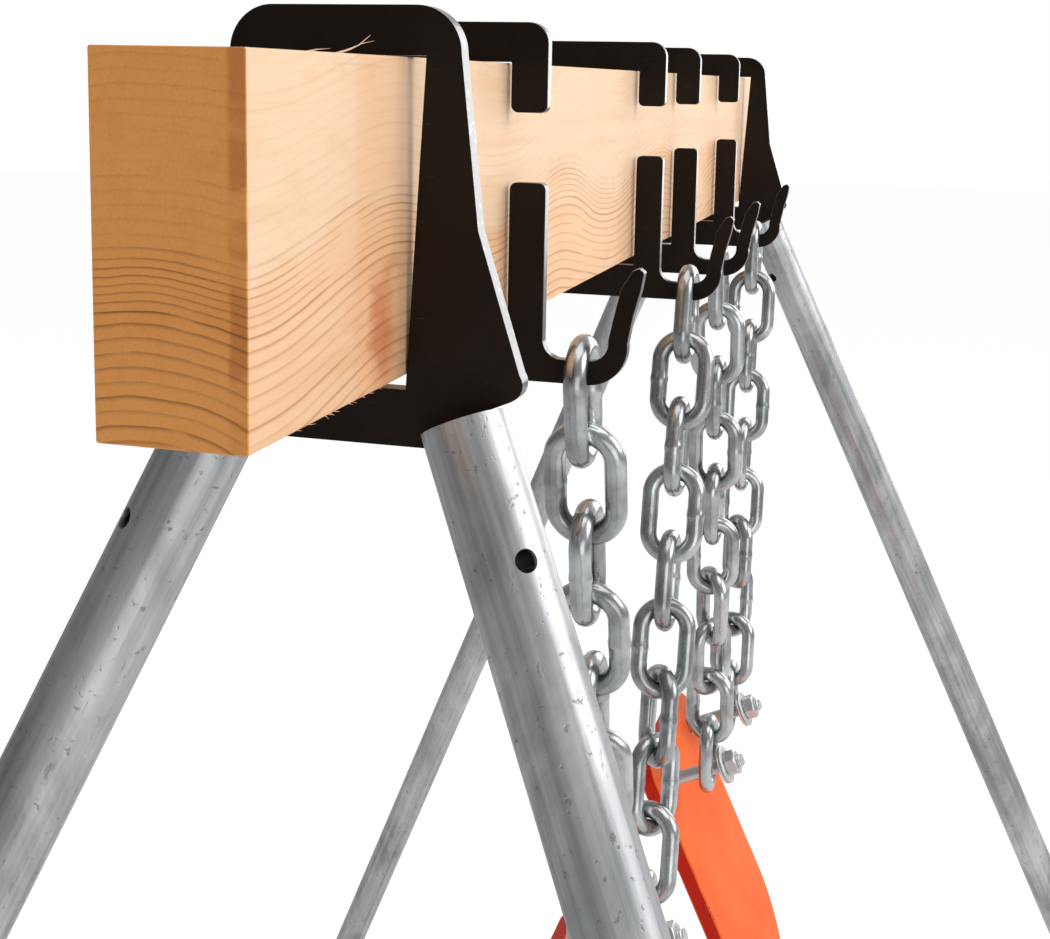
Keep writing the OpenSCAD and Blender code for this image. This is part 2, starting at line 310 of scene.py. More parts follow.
class Look(Tree):
    """A material: patterns on the object's own coordinates, and one Principled shader."""

    def __init__(self, name):
        self.material = bpy.data.materials.new(name)
        self.material.use_nodes = True
        super().__init__(self.material.node_tree)
        self.tree.nodes.clear()

    def place(self):
        return self.add("ShaderNodeTexCoord", out="Object")

    def split(self, vector):
        x = self.add("ShaderNodeSeparateXYZ", values={0: vector})
        return x, self.other(x, 1), self.other(x, 2)

    def stretched(self, vector, scale):
        return self.add("ShaderNodeMapping", values={"Vector": vector, "Scale": scale})

    def grain(self, vector, scale, detail=3.0, roughness=0.55, distortion=0.0):
        return self.add("ShaderNodeTexNoise", values={
            "Vector": vector, "Scale": scale, "Detail": detail, "Roughness": roughness,
            "Distortion": distortion})

    def fade(self, field, start, end):
        """0 at start, 1 at end, smooth between them."""
        return self.add("ShaderNodeMapRange", {"interpolation_type": "SMOOTHSTEP"},
                        {"Value": field, "From Min": start, "From Max": end})

    def blend(self, factor, first, second):
        return self.add("ShaderNodeMix", {"data_type": "RGBA"}, {0: factor, 6: first, 7: second}, 2)

    def tint(self, colour, factor, by):
        """Colour, multiplied by another one where factor is 1."""
        return self.add("ShaderNodeMix", {"data_type": "RGBA", "blend_type": "MULTIPLY"},
                        {0: factor, 6: colour, 7: by}, 2)

    def shader(self, colour, roughness, height=None, distance=0.1 * MM, strength=1.0, **constants):
        """A Principled shader. Constants are set on its own sockets."""
        values = {"Base Color": colour, "Roughness": roughness}
        if height is not None:
            values["Normal"] = self.add("ShaderNodeBump", values={
                "Strength": strength, "Distance": distance, "Height": height})
        values.update({name.replace("_", " "): value for name, value in constants.items()})
        return self.add("ShaderNodeBsdfPrincipled", values=values)

    def end(self, shader):
        self.add("ShaderNodeOutputMaterial", values={"Surface": shader})

    def finish(self, *fields, **constants):
        """Ends the tree in one Principled shader and gives back the material."""
        self.end(self.shader(*fields, **constants))
        return self.material


# ---------------------------------------------------------------- materials

def ring_radius(look, timber, x, y, z, slow, fine):
    """Distance from the tree's heart, which rises and falls below the beam along its length."""
    low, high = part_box("beam")
    wave_length, wave_height, wave_start = 0.19, 13 * MM, 1.57
    along = (x - low.x) / wave_length + (slow - 0.5) * 0.5
    wave = 0.5 - 0.5 * (along * (2 * math.pi) + wave_start).sine()
    heart_z = z - ((low.z + high.z) / 2 - timber.pith_drop) - wave * wave_height
    heart_aside, slow_wander, fine_wander = 5 * MM, 5 * MM, 1.5 * MM
    heart_y = y - heart_aside
    radius = (heart_y * heart_y + heart_z * heart_z).root()
    return radius + (slow - 0.5) * slow_wander + (fine - 0.5) * fine_wander


def ring_lines(look, timber, place, radius, near):
    """1 on the dark line of a ring, each ring with a strength of its own."""
    drop = timber.pith_drop
    # Some years grew slowly: their rings lie close together and are the darkest
    slow_years = look.fade(radius, drop - 17 * MM, drop + 1 * MM)
    count = radius / timber.ring + slow_years * timber.extra_rings
    year = count.math("FLOOR", count)
    chance = look.add("ShaderNodeTexWhiteNoise", {"noise_dimensions": "1D"}, {"W": year})
    place_in_ring = count.fraction()
    line = look.fade(place_in_ring, 0.46, 0.92) * (1.0 - look.fade(place_in_ring, 0.94, 1.0))
    line = line ** 2.2
    deep = look.fade(radius, drop - 16 * MM, drop - 26 * MM)
    strength = 0.16 + near * 0.84 - deep * 0.25
    broken = look.fade(look.grain(look.stretched(place, (26, 60, 60)), 1.0, 2.0), 0.26, 0.50)
    return line * strength * (0.35 + 0.65 * chance) * broken


def stain_and_bracket_shadow(look, side, x, z, mottle, fibre):
    """A red-brown stain low beside the left bracket, and a painted shadow of the bracket: a darker, warmer strip
    on the beam beside it.
    """
    low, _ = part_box("beam")
    bracket_x = middle("left_bracket").x
    stain_x = (x - (bracket_x - 11 * MM)) / (10 * MM)
    stain_z = (z - (low.z + 15 * MM)) / (20 * MM)
    stain = (stain_x * stain_x + stain_z * stain_z).root() + (mottle - 0.5) * 1.8 + (fibre - 0.5) * 0.8
    side = look.tint(side, look.fade(stain, 1.4, 0.15) * 0.85, (0.70, 0.42, 0.28, 1))
    # Painted shadow: a strip of the beam beside the bracket is darkened, where the bracket's shadow falls
    painted_light = look.fade(x + (mottle - 0.5) * (6 * MM), bracket_x - 34 * MM, bracket_x - 27 * MM)
    painted_light = painted_light * look.fade(x, bracket_x + 6 * MM, bracket_x + 3 * MM)
    return look.tint(side, painted_light * 0.5, (0.97, 0.82, 0.68, 1))


def timber_look(timber):
    """Softwood sawn round a heart that wanders below the beam."""
    look = Look("softwood")
    low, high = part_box("beam")
    place = look.place()
    x, y, z = look.split(place)
    slow = look.grain(look.stretched(place, (5, 9, 9)), 1.0, 2.0)
    fine = look.grain(look.stretched(place, (16, 60, 60)), 1.0, 2.0)
    radius = ring_radius(look, timber, x, y, z, slow, fine)
    drop = timber.pith_drop
    band = look.grain(look.stretched(place, (22, 22, 22)), 1.0, 1.0)
    near = look.fade(radius + (band - 0.5) * 0.02, drop + 1 * MM, drop - 9 * MM)
    line = ring_lines(look, timber, place, radius, near)

    # Fine fibres along the grain
    fibre = look.grain(look.stretched(place, (14, 900, 900)), 1.0, 3.0, 0.7)
    streak = look.grain(look.stretched(place, (3, 130, 130)), 1.0, 2.0)
    blotch = look.grain(look.stretched(place, (6, 14, 14)), 1.0, 3.0)
    mottle = look.grain(look.stretched(place, (60, 110, 110)), 1.0, 3.0)
    warm = look.fade(near * 0.6 + (blotch - 0.5) * 1.2, 0.1, 0.9)

    side = look.tint(tuple(timber.pale), warm, (0.99, 0.86, 0.74, 1))
    side = look.tint(side, look.fade(mottle, 0.50, 0.70) * 0.5, (0.97, 0.88, 0.80, 1))
    side = look.blend(line, side, tuple(timber.line))
    side = look.tint(side, look.fade(streak, 0.50, 0.72) * 0.45, (0.93, 0.80, 0.68, 1))
    side = look.tint(side, look.fade(fibre, 0.56, 0.75) * 0.45, (0.90, 0.78, 0.66, 1))
    side = stain_and_bracket_shadow(look, side, x, z, mottle, fibre)

    pores = look.grain(place, 1500.0, 2.0, 0.7)
    end = look.tint(tuple(timber.end_pale), look.fade(blotch, 0.35, 0.70) * 0.6, (0.90, 0.82, 0.70, 1))
    end = look.tint(end, look.fade(mottle, 0.50, 0.66) * 0.35, (0.92, 0.84, 0.74, 1))
    end = look.blend(line, end, tuple(timber.end_line))
    end = look.tint(end, look.fade(pores, 0.48, 0.70) * 0.4, (0.80, 0.70, 0.58, 1))
    # Grime along the corner of the end that the saw left rough
    ragged = look.fade(look.grain(look.stretched(place, (1, 20, 55)), 1.0, 3.0), 0.44, 0.56)
    corner = look.fade(y + (mottle - 0.5) * (2.5 * MM), low.y + 5.2 * MM, low.y + 3.6 * MM)
    end = look.tint(end, corner * (0.10 + 0.65 * ragged), (0.66, 0.52, 0.42, 1))

    half_length = (high.x - low.x) / 2
    from_middle = abs(x - (low.x + high.x) / 2)
    at_end = look.fade(from_middle, half_length - 0.5 * MM, half_length - 0.2 * MM)
    colour = look.blend(at_end, side, end)
    roughness = 0.56 + 0.20 * fibre + 0.08 * line
    height = fibre * 0.5 + pores * (at_end * 0.5) - line * 0.35
    return look.finish(colour, roughness, height, 0.22 * MM, 0.5, IOR=1.45)


def black_steel_look(steel):
    """Satin black paint with a faint orange peel."""
    look = Look("black_paint")
    place = look.place()
    cloud = look.grain(place, 26.0, 4.0, 0.6)
    peel = look.grain(place, 950.0, 2.0)
    dust = look.grain(place, 2600.0, 1.0)
    scratch = look.grain(look.stretched(place, (90, 90, 1400)), 1.0, 2.0)
    colour = look.blend(look.fade(cloud, 0.35, 0.75), tuple(steel.paint),
                        tuple(1.7 * part for part in steel.paint[:3]) + (1,))
    colour = look.blend(look.fade(dust, 0.70, 0.82) * 0.25, colour, (0.06, 0.055, 0.05, 1))
    colour = look.blend(look.fade(scratch, 0.72, 0.78) * 0.22, colour, (0.10, 0.10, 0.10, 1))
    roughness = 0.34 + 0.16 * cloud + 0.05 * peel
    return look.finish(colour, roughness, peel, 0.05 * MM, 0.35, Specular_IOR_Level=0.16)


def edge_sheen_look(steel):
    """The paint on a cut edge, lightened grey as a painted highlight for the studio's reflection, and here and
    there chipped down to the steel.
    """
    look = Look("rubbed_black_paint")
    place = look.place()
    cloud = look.grain(place, 140.0, 4.0, 0.65)
    chip = look.fade(look.grain(place, 420.0, 3.0), 0.60, 0.66)
    # Painted highlight: the near-black paint is blended towards light grey; the chips to grey steel are real wear
    colour = look.blend(look.fade(cloud, 0.30, 0.62), (0.035, 0.033, 0.032, 1), tuple(steel.edge_sheen))
    colour = look.blend(chip * 0.6, colour, (0.36, 0.37, 0.38, 1))
    roughness = 0.24 + 0.16 * cloud
    return look.finish(colour, roughness, cloud, 0.05 * MM, 0.4, Metallic=chip * 0.7,
                       Coat_Weight=0.5, Coat_Roughness=0.18)


def tube_look(tube):
    """Galvanised tube: zinc in soft clouds, drawn streaks, small pits and drips."""
    look = Look("galvanised_zinc")
    around = look.add("ShaderNodeUVMap", {"uv_map": "along_tube"})
    place = look.place()
    cloud = look.grain(look.stretched(place, (30, 30, 14)), 1.0, 5.0, 0.62, 0.6)
    streak = look.grain(look.stretched(around, (420, 10, 1)), 1.0, 3.0, 0.6)
    long_streak = look.grain(look.stretched(around, (110, 2.2, 1)), 1.0, 2.0)
    pits = look.fade(look.grain(place, 300.0, 3.0, 0.6), 0.62, 0.70)
    scabs = look.fade(look.grain(look.stretched(around, (210, 60, 1)), 1.0, 4.0, 0.65), 0.63, 0.70)
    drips = look.fade(look.grain(look.stretched(around, (120, 34, 1)), 1.0, 2.0), 0.66, 0.76)
    shine = cloud * 0.50 + streak * 0.28 + long_streak * 0.32
    colour = look.blend(look.fade(shine, 0.38, 0.70), tuple(tube.dull), tuple(tube.bright))
    colour = look.tint(colour, look.fade(long_streak, 0.50, 0.68) * 0.6, (0.88, 0.86, 0.87, 1))
    colour = look.tint(colour, pits * 0.6, (0.42, 0.42, 0.42, 1))
    colour = look.tint(colour, scabs * 0.45, (0.40, 0.41, 0.42, 1))
    colour = look.tint(colour, drips * 0.5, (0.75, 0.74, 0.73, 1))
    roughness = 0.26 + 0.22 * (1.0 - cloud) + 0.10 * streak + 0.15 * pits
    height = cloud * 1.2 + streak * 0.25 - pits * 0.6 - scabs * 0.6 + drips * 0.5
    return look.finish(colour, roughness, height, 0.22 * MM, 0.5, Metallic=0.92)


def zinc_look(name, zinc, clouds=46.0, gloss=0.24):
    """Bright zinc plating with dull clouds, small scuffs and grime specks."""
    look = Look(name)
    place = look.place()
    cloud = look.grain(place, clouds, 4.0, 0.6)
    scuff = look.grain(look.stretched(place, (500, 500, 120)), 1.0, 3.0, 0.6)
    specks = look.fade(look.grain(place, 900.0, 2.0), 0.66, 0.76)
    dull = tuple(0.50 * part for part in zinc[:3]) + (1,)
    colour = look.blend(look.fade(cloud, 0.30, 0.66), dull, tuple(zinc))
    colour = look.tint(colour, specks * 0.5, (0.50, 0.48, 0.46, 1))
    roughness = gloss + 0.12 * (1.0 - cloud) + 0.12 * look.fade(scuff, 0.5, 0.8)
    height = cloud * 0.8 + scuff * 0.25 - specks * 0.3
    return look.finish(colour, roughness, height, 0.12 * MM, 0.45, Metallic=0.95)


def orange_look(plate):
    """Glossy orange paint with painted shade on the rim, a darker, redder copy of the face colour, and scuffs
    where the plate has been struck.
    """
    look = Look("orange_paint")
    place = look.place()
    facing = look.add("ShaderNodeTexCoord", out="Normal")
    across = Vector((0, -math.cos(plate.tilt), math.sin(plate.tilt)))
    flat = abs(look.add("ShaderNodeVectorMath", {"operation": "DOT_PRODUCT"},
                        {0: facing, 1: across}, "Value"))
    cloud = look.grain(place, 22.0, 3.0)
    peel = look.grain(place, 520.0, 2.0)
    scuff = look.fade(look.grain(place, 240.0, 4.0, 0.6), 0.64, 0.70)
    # Painted shade: faces whose normal turns away from the plate's face get the darker, redder rim colour
    colour = look.blend(look.fade(flat, 0.55, 0.92), tuple(plate.shaded_rim), tuple(plate.face))
    colour = look.tint(colour, look.fade(cloud, 0.35, 0.65) * 0.7, (0.98, 0.70, 0.60, 1))
    colour = look.blend(scuff * 0.35, colour, (0.55, 0.10, 0.02, 1))
    roughness = 0.34 + 0.10 * cloud + 0.18 * scuff
    return look.finish(colour, roughness, peel - scuff * 0.4, 0.05 * MM, 0.3,
                       Specular_IOR_Level=0.14, Coat_Weight=0.05, Coat_Roughness=0.15)


def chipped_orange_look(plate):
    """The same paint on the worn edge, half darkened towards the painted rim shade, with chips down to dark
    primer.
    """
    look = Look("chipped_orange_paint")
    place = look.place()
    chip = look.fade(look.grain(place, 310.0, 4.0, 0.65), 0.60, 0.64)
    cloud = look.grain(place, 60.0, 3.0)
    # Partly painted shade: the edge's tone lies halfway between the face paint and the painted rim shade
    middle_tone = tuple((a + b) / 2 for a, b in zip(plate.face[:3], plate.shaded_rim[:3])) + (1,)
    colour = look.blend(look.fade(cloud, 0.3, 0.7), middle_tone, tuple(plate.face))
    colour = look.blend(chip * 0.75, colour, (0.16, 0.045, 0.02, 1))
    roughness = 0.32 + 0.3 * chip
    return look.finish(colour, roughness, cloud - chip, 0.08 * MM, 0.4)


def floor_look(studio):
    """Pale seamless paper, washed out to near white where it is looked at."""
    look = Look("pale_paper")
    place = look.place()
    tooth = look.grain(place, 160.0, 3.0)
    cloud = look.grain(place, 0.8, 2.0)
    colour = look.tint(tuple(studio.floor), look.fade(cloud, 0.3, 0.8) * 0.4, (0.985, 0.985, 0.985, 1))
    paper = look.shader(colour, 0.85 + 0.1 * tooth, tooth, 0.2 * MM, 0.1, Specular_IOR_Level=0.1)
    glow = look.add("ShaderNodeEmission", values={"Color": (1, 1, 1, 1), "Strength": studio.glow})
    seen = look.add("ShaderNodeLightPath", out="Is Camera Ray")
    look.end(look.add("ShaderNodeMixShader", values={0: seen * studio.wash, 1: paper, 2: glow}))
    return look.material


# ---------------------------------------------------------------- mesh helpers

def add_piece(name, shape, materials, smooth=True):
    """Turns a finished bmesh into an object at the origin."""
    mesh = bpy.data.meshes.new(name)
    shape.to_mesh(mesh)
    shape.free()
    for material in materials:
        mesh.materials.append(material)
    mesh.polygons.foreach_set("use_smooth", [smooth] * len(mesh.polygons))
    piece = bpy.data.objects.new(name, mesh)
    bpy.context.scene.collection.objects.link(piece)
    return piece


def stand_for(piece, body, slot, *nodes):
    """The piece rides on a body and takes the place of CAD nodes."""
    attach(piece, body)
    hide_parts(*nodes)


def even_normals(piece):
    """Keeps broad faces flat beside their bevels."""
    modifier = piece.modifiers.new("even_normals", "WEIGHTED_NORMAL")
    modifier.mode = "FACE_AREA"
    modifier.weight = 80
    modifier.keep_sharp = False


def joined_copy(node):
    """A CAD node's loose triangles, joined up, with each flat face whole again."""
    shape = bmesh.new()
    shape.from_mesh(frame["nodes"][node].data)
    bmesh.ops.remove_doubles(shape, verts=shape.verts, dist=0.002 * MM)
    bmesh.ops.dissolve_limit(shape, angle_limit=math.radians(0.4), verts=shape.verts, edges=shape.edges,
                             use_dissolve_boundaries=False)
    return shape


def bevel_cuts(shape, width, segments, material=0, least=math.radians(38)):
    """Rounds every edge that was cut square."""
    sharp = [e for e in shape.edges if len(e.link_faces) == 2 and e.calc_face_angle(0) > least]
    bmesh.ops.bevel(shape, geom=sharp, offset=width, offset_type="OFFSET", segments=segments,
                    profile=0.5, affect="EDGES", clamp_overlap=True, material=material)
    return shape


def give_edges_sheen(shape, material):
    """Gives the cut edges of a plate that stands across the beam the second material, whose light grey is a
    painted highlight.
    """
    for face in shape.faces:
        if abs(face.normal.x) < 0.5:
            face.material_index = material
    return shape


def turned(levels, segments, radius_at=None, closed=False):
    """A turned shape from (radius, height) levels. radius_at may reshape a level at an angle."""
    shape = bmesh.new()
    rings = []
    for radius, height in levels:
        if radius == 0:
            rings.append([shape.verts.new((0, 0, height))])
            continue
        ring = []
        for step in range(segments):
            angle = 2 * math.pi * step / segments
            r = radius_at(radius, height, angle) if radius_at else radius
            ring.append(shape.verts.new((r * math.cos(angle), r * math.sin(angle), height)))
        rings.append(ring)
    pairs = list(zip(rings, rings[1:])) + ([(rings[-1], rings[0])] if closed else [])
    for lower, upper in pairs:
        for step in range(segments):
            after = (step + 1) % segments
            if len(lower) == 1:
                corners = [lower[0], upper[after], upper[step]]
            elif len(upper) == 1:
                corners = [lower[step], lower[after], upper[0]]
            else:
                corners = [lower[step], lower[after], upper[after], upper[step]]
            shape.faces.new(corners)
    bmesh.ops.recalc_face_normals(shape, faces=shape.faces)
    return shape


def arc(centre, radius, start, end, steps):
    """(radius, height) points of an arc in a turned shape's outline."""
    for step in range(steps + 1):
        angle = start + (end - start) * step / steps
        yield centre[0] + radius * math.cos(angle), centre[1] + radius * math.sin(angle)


# ---------------------------------------------------------------- geometry node trees

class Maker(Tree):
    """A geometry node tree with named inputs, used once through a modifier."""

    def __init__(self, name, inputs):
        group = bpy.data.node_groups.new(name, "GeometryNodeTree")
        super().__init__(group)
        group.interface.new_socket("Geometry", in_out="INPUT", socket_type="NodeSocketGeometry")
        for label, kind in inputs.items():
            group.interface.new_socket(label, in_out="INPUT", socket_type=kind)
        group.interface.new_socket("Geometry", in_out="OUTPUT", socket_type="NodeSocketGeometry")
        self.start = group.nodes.new("NodeGroupInput")
        self.end = group.nodes.new("NodeGroupOutput")

    def given(self, label):
        return Field(self, self.start.outputs[label])

    def finish(self, geometry, material):
        real = self.add("GeometryNodeRealizeInstances", values={"Geometry": geometry})
        smooth = self.add("GeometryNodeSetShadeSmooth", values={"Geometry": real})
        finished = self.add("GeometryNodeSetMaterial", values={"Geometry": smooth, "Material": material})
        self.tree.links.new(finished.socket, self.end.inputs[0])

    def make(self, name, base, values):
        """Runs the tree on a base mesh and returns the result as a plain piece."""
        holder = bpy.data.objects.new(name + "_maker", base)
        bpy.context.scene.collection.objects.link(holder)
        modifier = holder.modifiers.new("maker", "NODES")
        modifier.node_group = self.tree
        sockets = {item.name: item.identifier for item in self.tree.interface.items_tree
                   if item.item_type == "SOCKET" and item.in_out == "INPUT"}
        for label, value in values.items():
            modifier[sockets[label]] = value
        evaluated = holder.evaluated_get(bpy.context.evaluated_depsgraph_get())
        mesh = bpy.data.meshes.new_from_object(evaluated)
        holder.modifiers.remove(modifier)
        bpy.data.objects.remove(holder)
        mesh.name = name
        piece = bpy.data.objects.new(name, mesh)
        bpy.context.scene.collection.objects.link(piece)
        return piece


def chain_maker():
    """Welded oval links, hung one in another, for the two chains of a plate."""
    maker = Maker("chain_pair", {
        "Wire": "NodeSocketFloat", "Bend": "NodeSocketFloat", "Straight": "NodeSocketFloat",
        "Weld": "NodeSocketFloat", "Pitch": "NodeSocketFloat", "First": "NodeSocketInt",
        "Count": "NodeSocketInt", "First Turn": "NodeSocketFloat", "Turn Step": "NodeSocketFloat",
        "Lean": "NodeSocketFloat", "Left Pivot": "NodeSocketVector", "Right Pivot": "NodeSocketVector",
        "Material": "NodeSocketMaterial"})
    bend, straight = maker.given("Bend"), maker.given("Straight")

    # The link's centre line: a circle whose halves are drawn apart, stood upright
    circle = maker.add("GeometryNodeCurvePrimitiveCircle", {"mode": "RADIUS"},
                       {"Resolution": 72, "Radius": bend})
    here = maker.add("GeometryNodeInputPosition")
    y = maker.add("ShaderNodeSeparateXYZ", values={0: here}, out=1)
    apart = y.math("SIGN", y) * straight * 0.5
    shift = maker.add("ShaderNodeCombineXYZ", values={1: apart})
    oval = maker.add("GeometryNodeSetPosition", values={"Geometry": circle, "Offset": shift})
    oval = maker.add("GeometryNodeResampleCurve", {"mode": "COUNT"}, {"Curve": oval, "Count": 84})

    # The weld: a low collar round the wire, halfway up one side
    spot = maker.add("GeometryNodeInputPosition")
    x = maker.add("ShaderNodeSeparateXYZ", values={0: spot})
    up = maker.other(x, 1)
    collar_width = 1.7 * MM
    near = (-(up / collar_width * (up / collar_width))).power_of_e()
    on_side = x.math("GREATER_THAN", x, 0.0)
    swell = 1.0 + near * on_side * maker.given("Weld")
    ring = maker.add("GeometryNodeCurvePrimitiveCircle", {"mode": "RADIUS"},
                     {"Resolution": 18, "Radius": maker.given("Wire") * 0.5})
    link = maker.add("GeometryNodeCurveToMesh", values={
        "Curve": oval, "Profile Curve": ring, "Scale": swell})
    link = maker.add("GeometryNodeTransform",
                     values={"Geometry": link, "Rotation": (math.pi / 2, 0.0, 0.0)})

    # One link at each step down the chain, turned a little more each time
    first, pitch = maker.given("First"), maker.given("Pitch")
    top = maker.add("ShaderNodeCombineXYZ", values={2: -(straight * 0.5) - first * pitch})
    step = maker.add("ShaderNodeCombineXYZ", values={2: -pitch})
    line = maker.add("GeometryNodeMeshLine", {"mode": "OFFSET"},
                     {"Count": maker.given("Count"), "Start Location": top, "Offset": step})
    number = maker.add("GeometryNodeInputIndex")
    turn = maker.given("First Turn") + number * maker.given("Turn Step")
    spin = maker.add("ShaderNodeCombineXYZ", values={2: turn})
    chain = maker.add("GeometryNodeInstanceOnPoints",
                      values={"Points": line, "Instance": link, "Rotation": spin})

    # The chains of a pair lean towards each other
    lean = maker.given("Lean")
    sides = []
    for label, slope in (("Left Pivot", -lean), ("Right Pivot", lean)):
        tip = maker.add("ShaderNodeCombineXYZ", values={1: slope})
        sides.append(maker.add("GeometryNodeTransform", values={
            "Geometry": chain, "Rotation": tip, "Translation": maker.given(label)}))
    both = maker.add("GeometryNodeJoinGeometry", values={"Geometry": sides})
    maker.finish(both, maker.given("Material"))
    return maker


def fastener_maker():
    """One fastener, set on both bolt lines of a plate."""
    maker = Maker("fastener_pair", {
        "Gap": "NodeSocketFloat", "Tip": "NodeSocketFloat", "Origin": "NodeSocketVector",
        "Turn": "NodeSocketFloat", "Material": "NodeSocketMaterial"})
    gap = maker.given("Gap")
    start = maker.add("ShaderNodeCombineXYZ", values={0: gap * -0.5})
    step = maker.add("ShaderNodeCombineXYZ", values={0: gap})
    line = maker.add("GeometryNodeMeshLine", {"mode": "OFFSET"},
                     {"Count": 2, "Start Location": start, "Offset": step})
    number = maker.add("GeometryNodeInputIndex")
    spin = maker.add("ShaderNodeCombineXYZ", values={2: maker.given("Turn") * number})
    pair = maker.add("GeometryNodeInstanceOnPoints", values={
        "Points": line, "Instance": maker.given("Geometry"), "Rotation": spin})
    tip = maker.add("ShaderNodeCombineXYZ", values={0: maker.given("Tip")})
    placed = maker.add("GeometryNodeTransform", values={
        "Geometry": pair, "Rotation": tip, "Translation": maker.given("Origin")})
    maker.finish(placed, maker.given("Material"))
    return maker


# ---------------------------------------------------------------- pieces

def beam_section(width, height, radii, flats):
    """Outline of the beam across its length: four eased corners, with points along the flats."""
    round_points = 6
    points = []
    corners = ((1, 1, 0.0), (-1, 1, 0.5), (-1, -1, 1.0), (1, -1, 1.5))
    for (side_y, side_z, start), radius in zip(corners, radii):
        centre = Vector((side_y * (width / 2 - radius), side_z * (height / 2 - radius)))
        for step in range(round_points):
            angle = math.pi * (start + 0.5 * step / (round_points - 1))
            points.append(centre + radius * Vector((math.cos(angle), math.sin(angle))))
    outline = []
    for index, point in enumerate(points):
        after = points[(index + 1) % len(points)]
        outline.append(point)
        if index % round_points == round_points - 1:
            count = flats[(index // round_points) % 2]
            outline += [point.lerp(after, (n + 1) / (count + 1)) for n in range(count)]
    return outline


def beam_shape(timber):
    """The beam, swept in short steps so that its edges wander and its faces dip a little."""
    low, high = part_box("beam")
    size, centre = high - low, (low + high) / 2
    steps = 150
    flats = (7, 15)
    ease = 0.3 * MM
    chip_depth, dip_depth = 4 * MM, 0.10 * MM
    shape = bmesh.new()
    rings = []
    stations = [low.x, low.x + ease * 0.3, low.x + ease]
    stations += [low.x + size.x * n / steps for n in range(1, steps)]
    stations += [high.x - ease, high.x - ease * 0.3, high.x]
    for x in stations:
        inset = ease - min(ease, x - low.x, high.x - x)
        radii = []
        for corner in range(4):
            wander = noise.noise(Vector((x * 22, corner * 9.3, 1.7)))
            chip = max(0.0, noise.noise(Vector((x * 75, corner * 5.1, 8.2))) - 0.42)
            radii.append(timber.edge * (1.0 + 0.35 * wander) + chip * chip_depth)
        ring = []
        for point in beam_section(size.y - 2 * inset, size.z - 2 * inset, radii, flats):
            y, z = centre.y + point.x, centre.z + point.y
            dip = 0.5 + 0.5 * noise.noise(Vector((x * 9, y * 30, z * 30)))
            pull = dip_depth * dip
            across = Vector((point.x / size.y, point.y / size.z))
            if abs(across.x) > abs(across.y):
                y -= math.copysign(pull, point.x)
            else:
                z -= math.copysign(pull, point.y)
            ring.append(shape.verts.new((x, y, z)))
        rings.append(ring)
    for before, after in zip(rings, rings[1:]):
        for index in range(len(before)):
            following = (index + 1) % len(before)
            shape.faces.new((before[index], before[following], after[following], after[index]))
    shape.faces.new(rings[0])
    shape.faces.new(rings[-1])
    bmesh.ops.recalc_face_normals(shape, faces=shape.faces)
    return shape


def add_sliver(shape, points, width, thickness):
    """A torn fibre: a thin strip through the points that tapers to its tip."""
    rings = []
    for index, point in enumerate(points):
        taper = 1.0 - 0.85 * index / (len(points) - 1)
        half_w, half_t = width / 2 * taper, thickness / 2 * taper
        corners = ((-half_w, -half_t), (half_w, -half_t), (half_w, half_t), (-half_w, half_t))
        rings.append([shape.verts.new(Vector(point) + Vector((0, a, b))) for a, b in corners])
    for before, after in zip(rings, rings[1:]):
        for index in range(4):
            following = (index + 1) % 4
            shape.faces.new((before[index], after[index], after[following], before[following]))
    shape.faces.new(rings[0])
    shape.faces.new(tuple(reversed(rings[-1])))


def add_torn_fibres(shape):
    """Three fibres that stand up from the beam's top edge beside the left bracket."""
    low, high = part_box("beam")
    edge_y, top = low.y + 1.2 * MM, high.z
    start = middle("left_bracket").x - 42 * MM
    # Each point is so far along the beam and above it, in mm
    tears = (
        ((0, -0.4), (8, 0.7), (16, 2.1), (24, 4.9)),
        ((3, -0.4), (12, 0.9), (20, 2.6), (29, 3.6)),
        ((-14, -0.4), (-6, 0.5), (2, 0.9)),
    )
    for number, tear in enumerate(tears):
        points = [(start + a * MM, edge_y + 0.9 * number * MM, top + b * MM) for a, b in tear]
        add_sliver(shape, points, 0.8 * MM, 0.35 * MM)


def add_whiskers(shape):
    """Short whiskers along the lower edge, where the saw came out."""
    low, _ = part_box("beam")
    first, apart, spread = 26, 5.0, 9
    for number in range(11):
        spot = Vector((number * 3.7, 2.1, 0.4))
        reach, tip = noise.noise(spot), noise.noise(spot * 1.9)
        x = low.x + (first + apart * number + spread * reach) * MM
        points = [(x, low.y + 0.5 * MM, low.z + 0.35 * MM),
                  (x + (1.4 + tip) * MM, low.y + 0.3 * MM, low.z - 0.05 * MM),
                  (x + (3.0 + 3 * tip) * MM, low.y + 0.1 * MM, low.z - (0.2 + 0.8 * abs(reach)) * MM)]
        add_sliver(shape, points, 0.4 * MM, 0.25 * MM)


class STAND_OT_timber_beam(bpy.types.Operator):
    """Builds the softwood beam with its growth rings and torn fibres"""
    bl_idname = "stand.timber_beam"
    bl_label = "Timber Beam"

    def execute(self, context):
        timber = context.scene.stand_timber
        shape = beam_shape(timber)
        add_torn_fibres(shape)
        add_whiskers(shape)
        piece = add_piece("timber_beam", shape, [timber_look(timber)])
        even_normals(piece)
        stand_for(piece, "stand", "timber", "beam")
        return {"FINISHED"}


def add_plate_steel(context, name, node, body):
    """A painted plate that stands across the beam, its cut edges bevelled and given a painted highlight."""
    steel = context.scene.stand_steel
    paint = bpy.data.materials.get("black_paint") or black_steel_look(steel)
    painted_light = bpy.data.materials.get("rubbed_black_paint") or edge_sheen_look(steel)
    # The cut edges take the second material, whose light grey is a painted highlight
    shape = give_edges_sheen(bevel_cuts(joined_copy(node), steel.edge, 3), 1)
    piece = add_piece(name, shape, [paint, painted_light])
    even_normals(piece)
    stand_for(piece, body, "black_steel", node)


